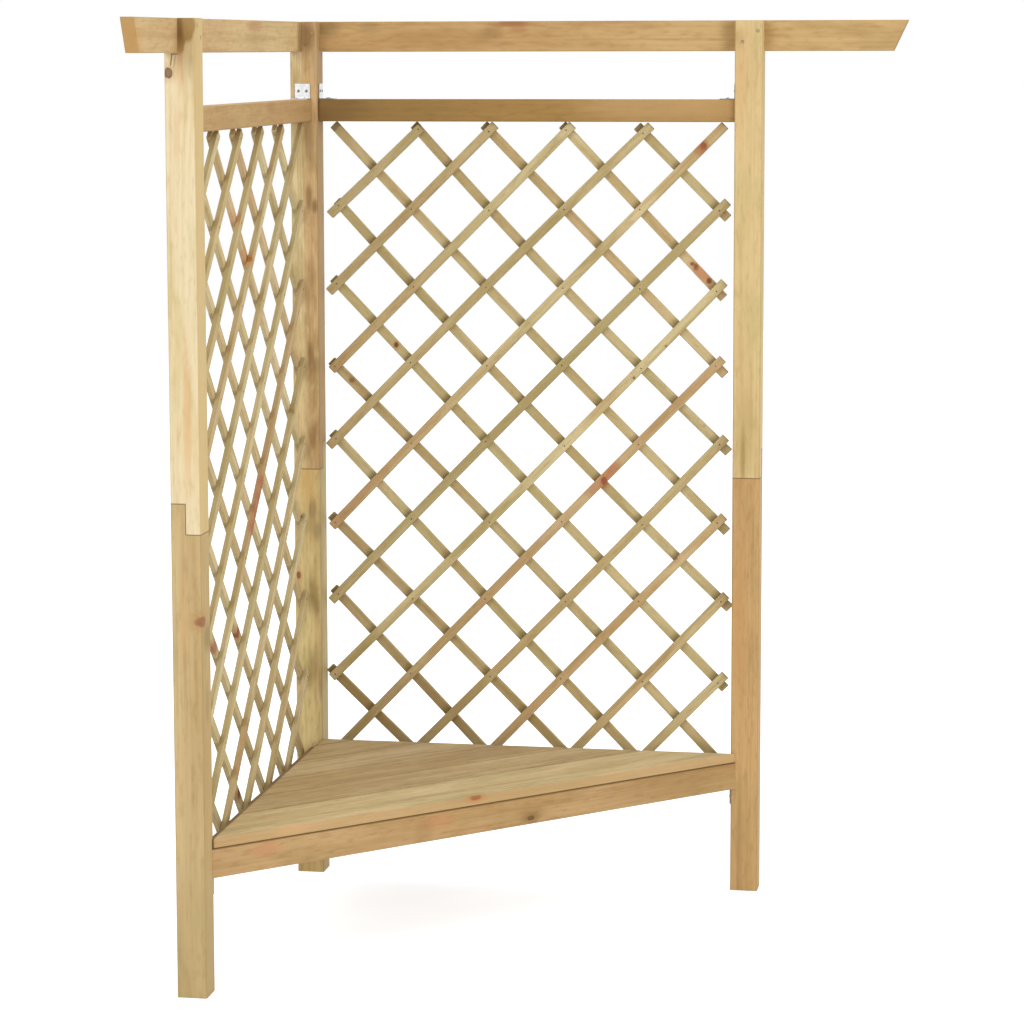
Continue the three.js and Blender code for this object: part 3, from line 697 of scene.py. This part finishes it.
# The values hold a number, or a vector, for each slat, station and corner.
def writeAttribute(mesh, name, values):
    vector = values.ndim == 4
    attribute = mesh.attributes.new(name, "FLOAT_VECTOR" if vector else "FLOAT", "POINT")
    flat = np.ascontiguousarray(values, dtype=np.float32).ravel()
    attribute.data.foreach_set("vector" if vector else "value", flat)


def addPiece(name, mesh, material, slotName, *replaced):
    piece = bpy.data.objects.new(name, mesh)
    bpy.context.scene.collection.objects.link(piece)
    mesh.materials.append(material)
    mesh.update()
    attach(piece, "root")
    if replaced:
        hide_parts(*replaced)


# Trellis
trellis = {
    "columns": 10, "rows": 16,  # half diamonds across and down
    "width": 0.0207, "thickness": 0.0105, "stub": 0.020, "arris": 0.0011,
    "stations": 25, "arrisSteps": 3,  # rings along a slat, and points round each of its arrises
    "seeds": (0, 40), "stemSides": (-0.02, 0.02), "stemDepths": (0.015, 0.04),  # where in a stem a slat lay
}

# How each slat departs from the even grid, in millimetres: how far its start, middle and end lie to its
# left, and how far its free ends reach past the first and the last crossing. Rising slats are counted
# from the top left, and falling ones from the bottom left.
slatShapes = {
    "right rising": [
        (-5, -10, -14, 12, 26), (0, -2, -4, 12, 24), (-3, -3, -2, 9, 22), (5, 7, -1, 12, 20),
        (-4, 6, 9, 13, 11), (2, 11, 11, 11, 23), (2, 5, 15, 12, 18), (1, 13, 22, 20, 21),
        (1, 5, 17, 20, 28), (5, 14, 20, 20, 26), (-1, 7, 15, 20, 30), (9, 12, 14, 20, 26)],
    "right falling": [
        (0, 3, 7, 23, 20), (11, 6, 1, 21, 20), (2, 7, 8, 18, 20), (13, 3, -5, 23, 20),
        (4, 8, -1, 14, 20), (15, 5, 2, 17, 9), (20, 4, 12, 8, 12), (12, 2, 4, 8, 10),
        (17, 1, 7, 3, 11), (4, 0, -2, 16, 8), (4, -3, -9, 16, 9), (-4, -4, -4, 21, 16)],
    "left rising": [
        (2, 3, 1, 18, 20), (3, 1, -2, 16, 21), (-2, 0, 2, 17, 18), (4, 5, 2, 15, 18),
        (2, 4, 3, 18, 16), (0, 3, 4, 17, 21), (3, 5, 6, 18, 18), (1, 4, 5, 20, 22),
        (2, 3, 6, 20, 20), (4, 5, 7, 20, 21), (0, 3, 5, 20, 24), (3, 4, 4, 20, 20)],
    "left falling": [
        (1, 2, 3, 21, 20), (5, 4, 1, 20, 20), (2, 4, 3, 18, 20), (6, 3, -1, 20, 20),
        (3, 5, 1, 17, 20), (6, 4, 2, 16, 18), (5, 3, 4, 14, 17), (3, 2, 3, 15, 18),
        (4, 1, 3, 15, 16), (2, 1, 0, 17, 18), (2, -1, -2, 17, 19), (0, -1, -1, 20, 18)],
}


# The grid of crossings that fills the box of the CAD trellis: the slope of the slats and the reach of
# their free ends depend on each other, so a few rounds settle them.
def trellisGrid(side):
    low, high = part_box(side + "_trellis")
    if side == "left":
        start, end, inner = low.y - leftStart, high.y - leftStart, high.x - outerX
    else:
        start, end, inner = low.x - outerX, high.x - outerX, outerY - low.y
    stub, half = trellis["stub"], trellis["width"] / 2
    slope = math.pi / 4
    for _ in range(8):
        reachUp = stub * math.sin(slope) + half * math.cos(slope)
        reachAlong = stub * math.cos(slope) + half * math.sin(slope)
        columnStep = (end - start - 2 * reachAlong) / trellis["columns"]
        rowStep = (high.z - low.z - 2 * reachUp) / trellis["rows"]
        slope = math.atan2(rowStep, columnStep)
    thickness = trellis["thickness"]
    return dict(start=start + reachAlong, columnStep=columnStep, top=high.z - reachUp, rowStep=rowStep,
                inner=inner, between=inner - thickness, outer=inner - 2 * thickness)


def crossing(grid, column, row):
    return grid["start"] + column * grid["columnStep"], grid["top"] - row * grid["rowStep"]


# First and last crossing of every slat: on rising slats column plus row stays the same, and on falling
# slats column minus row does.
def slatRuns(rising):
    columns, rows = trellis["columns"], trellis["rows"]
    if rising:
        total = np.arange(2, columns + rows, 2)
        first, last = np.maximum(0, total - rows), np.minimum(columns, total)
        return first, total - first, last, total - last
    lead = np.arange(2 - rows, columns, 2)
    first, last = np.maximum(0, lead), np.minimum(columns, lead + rows)
    return first, first - lead, last, last - lead


# Rounded rectangle, run once round: each quarter circle sits in its own corner.
def easedRectangle(width, height, arris, steps):
    turn = np.arange(4 * steps)
    quarter = turn // steps
    angle = (quarter + (turn % steps) / (steps - 1)) * (math.pi / 2)
    corner = np.array([[1, 1], [-1, 1], [-1, -1], [1, -1]])[quarter]
    centre = corner * (np.array([width, height]) / 2 - arris)
    return centre + arris * np.stack([np.cos(angle), np.sin(angle)], axis=-1)


# Sideways shift at a share of the way between the outer crossings: the parabola through three values
def slatShift(shape, share):
    start, middle, end = (shape[..., index] for index in range(3))
    return start + (4 * middle - 3 * start - end) * share + 2 * (start + end - 2 * middle) * share ** 2


# Sideways shifts, at a crossing, of the rising and the falling slat that meet there
def crossingShifts(side, column, row):
    shifts = []
    risingSlat, fallingSlat = (column + row) // 2 - 1, (column - row + trellis["rows"]) // 2 - 1
    for layer, slat, rising in (("rising", risingSlat, True), ("falling", fallingSlat, False)):
        first, _, last, _ = slatRuns(rising)
        slat = np.clip(slat, 0, len(first) - 1)
        share = (column - first[slat]) / (last - first)[slat]
        shifts.append(slatShift(np.array(slatShapes[side + " " + layer])[slat] / 1000, share))
    return shifts


# The place along falling slats counted in crossings, so that a whole number lies under a rising slat. The
# shift of each rising slat moves its crossing.
def countCrossings(side, travel, startStub, span):
    firstColumn, firstRow, lastColumn, _ = slatRuns(False)
    counts = np.zeros(travel.shape)
    for index, (first, row, last) in enumerate(zip(firstColumn, firstRow, lastColumn)):
        column = np.arange(first, last + 1)
        up, _ = crossingShifts(side, column, row + column - first)
        step = span[index] / (last - first)
        places = startStub[index] + (column - first) * step - up
        places = np.concatenate([places[:1] - step, places, places[-1:] + step])
        counts[index] = np.interp(travel[index], places, np.arange(-1, len(places) - 1))
    return counts


# A slat is the eased rectangle carried from end to end. Its middle line is the straight line between
# two crossings plus the sideways parabola, and the rings at its ends shrink by the arris. What comes
# back holds one value for each slat, station and corner: the points, their places in the stem, the cut
# ends, the narrow sides that get painted shade and the count of crossings.
def slatPoints(side, grid, rising, inner):
    arris, section = trellis["arris"], np.array([trellis["width"], trellis["thickness"]])
    firstColumn, firstRow, lastColumn, lastRow = slatRuns(rising)
    shape = np.array(slatShapes[side + (" rising" if rising else " falling")]) / 1000
    startStub, endStub = shape[:, 3:4], shape[:, 4:5]
    alongStart, heightStart = crossing(grid, firstColumn, firstRow)
    alongEnd, heightEnd = crossing(grid, lastColumn, lastRow)
    startPoint = wingPoints(side, alongStart, 0.0, heightStart)
    run = wingPoints(side, alongEnd, 0.0, heightEnd) - startPoint
    span = np.linalg.norm(run, axis=-1, keepdims=True)
    ahead = run / span
    inwards = wingInwards[side]
    sideways = np.cross(inwards, ahead)

    length = span + startStub + endStub
    inside = arris + np.linspace(0, 1, trellis["stations"]) * (length - 2 * arris)
    travel = np.concatenate([np.zeros(length.shape), inside, length], axis=1)
    shrink = np.zeros(travel.shape[1])
    shrink[[0, -1]] = arris
    outline = easedRectangle(*section, arris, trellis["arrisSteps"])
    ring = outline * (1 - shrink[:, None, None] / (section / 2))  # station, corner, (sideways, inwards)
    swing = slatShift(shape[:, None], (travel - startStub) / span)
    depth = inner - trellis["thickness"] / 2
    middle = (startPoint - startStub * ahead)[:, None] + travel[..., None] * ahead[:, None]
    middle = middle + swing[..., None] * sideways[:, None] + depth * inwards
    points = middle[:, :, None] + ring[..., :1] * sideways[:, None, None] + ring[..., 1:] * inwards

    everyPoint = points.shape[:3]
    each = (len(length), 1, 1)
    seeds = random.uniform(*trellis["seeds"], each)
    stemSide, stemDepth = (random.uniform(*trellis[name], each) for name in ("stemSides", "stemDepths"))
    grain = (travel[..., None] + seeds, ring[..., 1] + stemDepth, ring[..., 0] + stemSide)
    grain = np.stack([np.broadcast_to(part, everyPoint) for part in grain], axis=-1)
    # 1 on the narrow sides, which get painted shade
    edgeShade = np.clip(1 - (trellis["width"] / 2 - np.abs(outline[:, 0])) / arris, 0, 1)
    crossed = np.zeros(travel.shape)
    if not rising:
        crossed = countCrossings(side, travel, startStub[:, 0], span[:, 0])
    ends = (shrink > 0)[:, None]
    return points, grain, *(np.broadcast_to(part, everyPoint) for part in (ends, edgeShade, crossed[..., None]))


slatTints = {
    "green": "#B5A86F", "red": "#B4754C", "brown": "#8E7442", "edgeShade": "#857041",
    "greens": (0.2, 0.8), "darks": (0.0, 0.2), "reds": (0.0, 0.12),  # what a slat can have of each
    "inner": {"left": 0.0, "right": 0.07},  # how much darker the slats on the bench side are
    "edgeShadeShare": 0.5, "edgeShadeBehind": 0.35,  # the painted shade on the narrow sides is lighter on the slats behind
    "shadowAndStain": "#6F5F33", "shadowAndStainShare": {"left": 0.35, "right": 0.6},  # painted shadow of the rising slat and a stain: a dark patch above each crossing
    "shadowAndStainReach": {"left": 0.12, "right": 0.22},
}

# Tones that a slat is known to have in the photographed panel, counted as the slats are: how green it
# is, how dark, and how red at its start, its middle and its end.
slatTones = {
    "right rising": {
        2: (0.5, 0.1, (0.4, 0.05, 0.0)), 4: (0.3, 0.0, (0.6, 0.0, 0.35)), 6: (0.4, 0.0, (0.05, 0.05, 0.0)),
        7: (0.2, 0.1, (0.0, 0.4, 0.6)), 8: (0.4, 0.15, (0.0, 0.05, 0.0)),
        9: (0.3, 0.0, (0.4, 0.35, 0.25)), 10: (0.4, 0.0, (0.1, 0.25, 0.0))},
    "right falling": {
        0: (0.3, 0.5, (0.0, 0.0, 0.0)), 1: (0.4, 0.4, (0.1, 0.0, 0.0)), 2: (0.4, 0.25, (0.1, 0.1, 0.1)),
        9: (0.2, 0.0, (0.1, 0.3, 0.1)), 10: (0.3, 0.0, (0.0, 0.1, 0.6))},
    "left rising": {
        3: (0.5, 0.1, (0.2, 0.3, 0.1)), 6: (0.2, 0.15, (-0.9, 0.6, 0.85)), 8: (0.3, 0.1, (0.1, 0.2, 0.1))},
    "left falling": {
        4: (0.5, 0.1, (0.2, 0.2, 0.0)), 8: (0.3, 0.0, (0.3, 0.25, 0.1)), 9: (0.2, 0.0, (0.4, 0.45, 0.4))},
}


# The red along a slat runs straight from each of its three values to the next.
def slatTone(count, known, stations, darker):
    green, dark = (random.uniform(*slatTints[name], count) for name in ("greens", "darks"))
    dark = dark + darker
    red = np.broadcast_to(random.uniform(*slatTints["reds"], (count, 1)), (count, 3)).copy()
    for index, (knownGreen, knownDark, knownRed) in known.items():
        green[index], dark[index], red[index] = knownGreen, knownDark, knownRed
    share = np.linspace(0.0, 1.0, stations)
    before, after = np.clip(1 - 2 * share, 0, 1), np.clip(2 * share - 1, 0, 1)
    red = red[:, :1] * before + red[:, 1:2] * (1 - before - after) + red[:, 2:] * after
    green, dark = np.broadcast_to(green[:, None], red.shape), np.broadcast_to(dark[:, None], red.shape)
    return np.stack([green, red, dark], axis=-1)


slatValues = ("grain", "endGrain", "edgeShadeMask", "crossings", "tone")  # attributes of the slats' points


def makeTrellis(side, material):
    grid = trellisGrid(side)
    layers = []
    for layer, rising, inner in (("rising", True, grid["inner"]), ("falling", False, grid["between"])):
        points, grain, ends, edgeShade, crossed = slatPoints(side, grid, rising, inner)
        darker = slatTints["inner"][side] if rising else 0.0
        tones = slatTone(len(points), slatTones[side + " " + layer], points.shape[1], darker)
        edgeShade = edgeShade * (1.0 if rising else slatTints["edgeShadeBehind"])
        layers.append((points, grain, ends, edgeShade, crossed, np.broadcast_to(tones[:, :, None], points.shape)))
    points, *values = (np.concatenate(part) for part in zip(*layers))
    mesh = tubesToMesh(side + "_trellis_slats", points)
    for name, value in zip(slatValues, values):
        writeAttribute(mesh, name, value)
    addPiece(side + "_trellis_slats", mesh, material, "trellis_slats", side + "_trellis")
    return grid


rightSlats = dict(
    plainWood, light="#DCC998", middle="#C8AE7B", heart="#C8A170", dark="#907B4A", stain="#AE9F66",
    stains=0.6, ringWidth=0.006, rings=0.2, knots=0.05, knotSize=0.0035)
slatLooks = {
    "right": rightSlats,
    "left": dict(rightSlats, light="#E8D7A8", middle="#D5BC89", heart="#D6B081", dark="#9C8754"),
}

# Marks of the slats, by the planes in which they lie
slatMarks = {
    "right": [
        *flatMarks(1, 0.6488, [  # the bench side
            ("redKnot", (0.2445, 1.6915), 0.006, 0.0075, (0.7, "#A9663C"), dict(core="#7A3F20")),
            ("blush", (0.238, 1.684), 0.008, 0.008, (0.6, "#A9663C")),
            ("speck", (0.0891, 1.168), 0.0028, 0.0032), ("speck", (0.1617, 1.2417), 0.0022, 0.0022),
            ("redKnot", (0.0209, 0.9315), 0.006, 0.0085, (0.7, "#B5623A"), dict(core="#8C4526")),
            ("blush", (0.042, 0.952), 0.012, 0.014, (0.65, "#B5623A")),
            ("blush", (0.002, 0.912), 0.012, 0.012, (0.5, "#B5683F")),
            ("speck", (-0.221, 0.806), 0.0022, 0.0022), ("speck", (0.1174, 0.8213), 0.0022, 0.0022),
        ]),
        *flatMarks(1, 0.6608, [  # the slats behind
            ("redKnot", (0.2201, 1.4269), 0.005, 0.004, dict(core="#6E3A1F")),
            ("redKnot", (0.228, 1.4191), 0.005, 0.0075, dict(core="#6E3A1F")),
            ("blush", (0.243, 1.404), 0.012, 0.01, (0.75, "#C07F56")),
            ("redKnot", (0.2575, 1.389), 0.0055, 0.0065, dict(core="#6E3A1F")),
            ("redKnot", (-0.4623, 1.2344), 0.005, 0.006, dict(core="#6E3A1F")),
            ("speck", (0.2478, 1.0608), 0.002, 0.002),
        ]),
        *flatMarks(1, 0.6550, [  # both layers; painted shade over the lower left corner of the panel
            ("shade", (-0.530, 0.400), 0.06, 0.06, (0.35, "#80602F")),
            ("shade", (-0.350, 0.380), 0.05, 0.05, (0.35, "#80602F")),
        ]),
    ],
    "left": [
        *flatMarks(0, -0.674, [
            ("redKnot", (0.1340, 1.4640), 0.02, 0.009, "#BC7A3E", dict(core="#A06A2E", rim=0.0)),
            ("blush", (0.1150, 1.4830), 0.02, 0.007, "#C0703C"),
            ("blush", (0.0360, 1.5620), 0.02, 0.012, (0.4, "#C47C4A")),
            ("redKnot", (0.0241, 0.6740), 0.02, 0.010, (0.7, "#A9703C"), dict(core="#8A4A24")),
            ("blush", (-0.1601, 0.6782), 0.02, 0.010, (0.7, "#9C5238")),
            ("redKnot", (0.0190, 0.3280), 0.02, 0.011, (0.7, "#96603A"), dict(core="#7A3D22")),
        ]),
        *flatMarks(0, -0.663, [  # streaks down two slats
            *[("blush", (0.200 - 0.028 * step, 0.968 - 0.028 * step), 0.005, 0.011, (0.85, "#A65C3C"))
              for step in range(4)],
            *[("shade", (0.055 - 0.028 * step, 0.463 - 0.028 * step), 0.005, 0.011, (0.45, "#A2692F"))
              for step in range(4)],
        ]),
    ],
}


def slatMaterial(side):
    material, tree, sockets = blankMaterial(side + "_slat_wood")
    grain, end, edgeShade, crossings, tone = (
        addNode(tree, "Attribute", attribute_name=name).outputs for name in slatValues)
    green, red, dark = split(tone["Vector"])
    found, bend = findMarks(addNode(tree, "TexCoord").outputs["Object"], slatMarks[side])
    wood = useGroup(pine, vector=grain["Vector"], bend=bend, endGrain=end["Fac"], **slatLooks[side])
    wide = noise(grain["Vector"], (3.0, 20.0, 20.0))
    past = number("FRACT", crossings["Fac"])
    reach, share = slatTints["shadowAndStainReach"][side], slatTints["shadowAndStainShare"][side]
    colour = wood["colour"]
    for mask, name in (
        (times(green, ease(wide, 0.35, 0.65, 0.15, 0.7)), "green"),
        (times(red, ease(wide, 0.3, 0.6, 0.35, 0.9)), "red"),
        (dark, "brown"),
        # painted shade on the narrow sides of the slats
        (times(edgeShade["Fac"], slatTints["edgeShadeShare"]), "edgeShade"),
        # painted shadow of each rising slat, with a stain, on the falling slat just above the crossing
        (ease(past, 0.98 - reach, 0.9, 0.0, share), "shadowAndStain"),
    ):
        colour = mingle(mask, colour, slatTints[name])
    finishWood(sockets, paintMarks(colour, found), wood, "slatBump")
    return material


grids = {side: makeTrellis(side, slatMaterial(side)) for side in ("left", "right")}
print("trellis made")


# Small round heads: a profile of radii and heights turned round an axis that points out of the surface.
def headPoints(centres, axes, profile, around):
    axes = np.broadcast_to(axes, centres.shape)
    helper = np.where(np.abs(axes[:, 2:]) > 0.9, [[1.0, 0.0, 0.0]], [[0.0, 0.0, 1.0]])
    first = np.cross(axes, helper)
    first = first / np.linalg.norm(first, axis=-1, keepdims=True)
    second = np.cross(axes, first)
    angle = np.arange(around)[:, None] * 2 * math.pi / around
    radius, height = np.array(profile).T[:, :, None, None]
    sweep = np.cos(angle) * first[:, None, None] + np.sin(angle) * second[:, None, None]
    return centres[:, None, None] + height * axes[:, None, None] + radius * sweep


# Nails: where both numbers of a crossing are even the nail comes from the bench side, and where both
# are odd it comes from behind.
nail = {
    "profile": [(0.0017, -0.0005), (0.0017, 0.0003), (0.0012, 0.0006), (0.0004, 0.0007)], "around": 10,
    "stray": 0.0015,
}


def makeNails(side, grid):
    columns, rows = trellis["columns"], trellis["rows"]
    column, row = np.meshgrid(np.arange(columns + 1), np.arange(rows + 1), indexing="ij")
    corner = np.isin(column, (0, columns)) & np.isin(row, (0, rows))
    groups = []
    for odd, depth, outwards in ((0, grid["inner"], 1), (1, grid["outer"], -1)):
        chosen = (column % 2 == odd) & (row % 2 == odd) & ~corner
        along, height = crossing(grid, column[chosen], row[chosen])
        up, down = crossingShifts(side, column[chosen], row[chosen])
        stray = random.uniform(-nail["stray"], nail["stray"], (2, len(along)))
        along = along + (down - up) / math.sqrt(2) + stray[0]
        height = height + (down + up) / math.sqrt(2) + stray[1]
        centres = wingPoints(side, along, depth, height)
        groups.append(headPoints(centres, outwards * wingInwards[side], nail["profile"], nail["around"]))
    mesh = tubesToMesh(side + "_trellis_nails", np.concatenate(groups))
    addPiece(side + "_trellis_nails", mesh, zinc["nail_steel"], "zinc_screws")


for side, grid in grids.items():
    makeNails(side, grid)

# Bracket screws: two through each leg, with a domed head and a small recess
bracketScrew = {
    "middle": 0.0185, "spacing": 0.018, "sheet": 0.002, "around": 14,
    "profile": [(0.0032, -0.0004), (0.0032, 0.0004), (0.0026, 0.0012), (0.0016, 0.0016), (0.001, 0.0016),
                (0.0006, 0.0007)],
}


def makeBracketScrews(kind, up):
    centres, axes = [], []
    for side, lengthAxis in (("left", 1), ("right", 0)):
        for end in ("outer", "corner"):
            box = np.array(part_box("%s_%s_bracket_%s" % (side, kind, end)))
            atLow = (side == "left") == (end == "outer")
            away, across, upward = np.zeros((3, 3))
            away[lengthAxis] = 1.0 if atLow else -1.0
            across[1 - lengthAxis] = 1.0
            upward[2] = up
            bend = box.mean(axis=0)  # the middle of the bent edge
            bend[lengthAxis] = box[0 if atLow else 1, lengthAxis]
            bend[2] = box[0 if up > 0 else 1, 2]
            for step in (-0.5, 0.5):
                beside = bend + step * bracketScrew["spacing"] * across
                for reach, face in ((away, upward), (upward, away)):
                    centres.append(beside + bracketScrew["middle"] * reach + bracketScrew["sheet"] * face)
                    axes.append(face)
    points = headPoints(np.array(centres), np.array(axes), bracketScrew["profile"], bracketScrew["around"])
    mesh = tubesToMesh(kind + "_bracket_screws", points)
    addPiece(kind + "_bracket_screws", mesh, zinc["zinc_screw"], "zinc_screws")


makeBracketScrews("rail", 1.0)
makeBracketScrews("bearer", -1.0)
print("nails and bracket screws made")


def seenRays(tree):  # 1 for rays straight from the camera, off mirrors or through glass
    rays = addNode(tree, "LightPath").outputs
    return larger(larger(rays["Is Camera Ray"], rays["Is Glossy Ray"]), rays["Is Transmission Ray"])


# Floor and background
floor = {"size": 30.0, "below": 0.0004, "colour": "#E9EDF4", "glow": 0.62}


def makeFloor():
    half = floor["size"] / 2
    corners = [(-half, -half), (half, -half), (half, half), (-half, half)]
    mesh = bpy.data.meshes.new("floor")
    mesh.from_pydata([(x, y, -floor["below"]) for x, y in corners], [], [(0, 1, 2, 3)])
    piece = bpy.data.objects.new("floor", mesh)
    bpy.context.scene.collection.objects.link(piece)
    material = bpy.data.materials.new("floor")
    tree = clearTree(material)
    speckle = noise(addNode(tree, "TexCoord").outputs["Object"], (3.0, 3.0, 3.0))
    colour = mingle(ease(speckle, 0.3, 0.7, 0.0, 0.15), floor["colour"], "#FFFFFF")
    diffuse = feedAll(addNode(tree, "BsdfDiffuse"), Color=colour)
    glow = feedAll(addNode(tree, "Emission"), Strength=times(seenRays(tree), floor["glow"]))
    both = addNode(tree, "AddShader")
    feed(both.inputs[0], diffuse[0])
    feed(both.inputs[1], glow[0])
    feedAll(addNode(tree, "OutputMaterial"), Surface=both.outputs[0])
    mesh.materials.append(material)


makeFloor()

# Light
studio = {
    "sky": 0.62,  # even light from all round
    "lamps": [  # place, size, watts
        ((-3.2, -5.2, 4.6), 3.2, 115.0),
        ((4.4, -3.6, 3.0), 3.0, 110.0),
        ((0.5, 1.5, 6.0), 3.5, 115.0),
    ],
    "aim": (0.0, 0.0, 0.9),
}


# The sky lights the seat evenly and looks white where it is seen.
def makeLight():
    world = bpy.data.worlds.new("studio")
    bpy.context.scene.world = world
    tree = clearTree(world)
    strength = plus(studio["sky"], times(seenRays(tree), 1.0 - studio["sky"]))
    background = feedAll(addNode(tree, "Background"), Color="#FFFFFF", Strength=strength)
    feedAll(addNode(tree, "OutputWorld"), Surface=background[0])
    for index, (position, width, watts) in enumerate(studio["lamps"]):
        light = bpy.data.lights.new("softbox_%d" % (index + 1), "AREA")
        light.shape, light.size, light.energy = "SQUARE", width, watts
        lamp = bpy.data.objects.new(light.name, light)
        bpy.context.scene.collection.objects.link(lamp)
        lamp.location = position
        lamp.rotation_euler = (Vector(studio["aim"]) - Vector(position)).to_track_quat("-Z", "Y").to_euler()


makeLight()

# Camera, at the photograph's place: heading is measured from +Y towards -X, tilt downwards, in degrees
view = {
    "place": (1.0788, -6.4599, 1.9120), "heading": 10.13, "tilt": 6.583, "roll": -0.12,
    "sensor": 36.0, "lens": 112.1,  # millimetres
    "rise": -0.0947, "farthest": 100.0,
}


def makeCamera():
    data = bpy.data.cameras.new("camera")
    data.sensor_width, data.lens, data.shift_y = view["sensor"], view["lens"], view["rise"]
    data.clip_end = view["farthest"]
    camera = bpy.data.objects.new("camera", data)
    bpy.context.scene.collection.objects.link(camera)
    matrix = Matrix.Translation(view["place"])
    for degrees, axis in ((view["heading"], "Z"), (90 - view["tilt"], "X"), (view["roll"], "Z")):
        matrix = matrix @ Matrix.Rotation(math.radians(degrees), 4, axis)
    camera.matrix_world = matrix
    bpy.context.scene.camera = camera


makeCamera()
bpy.context.scene.view_settings.view_transform = "Standard"
print("floor, light and camera made")
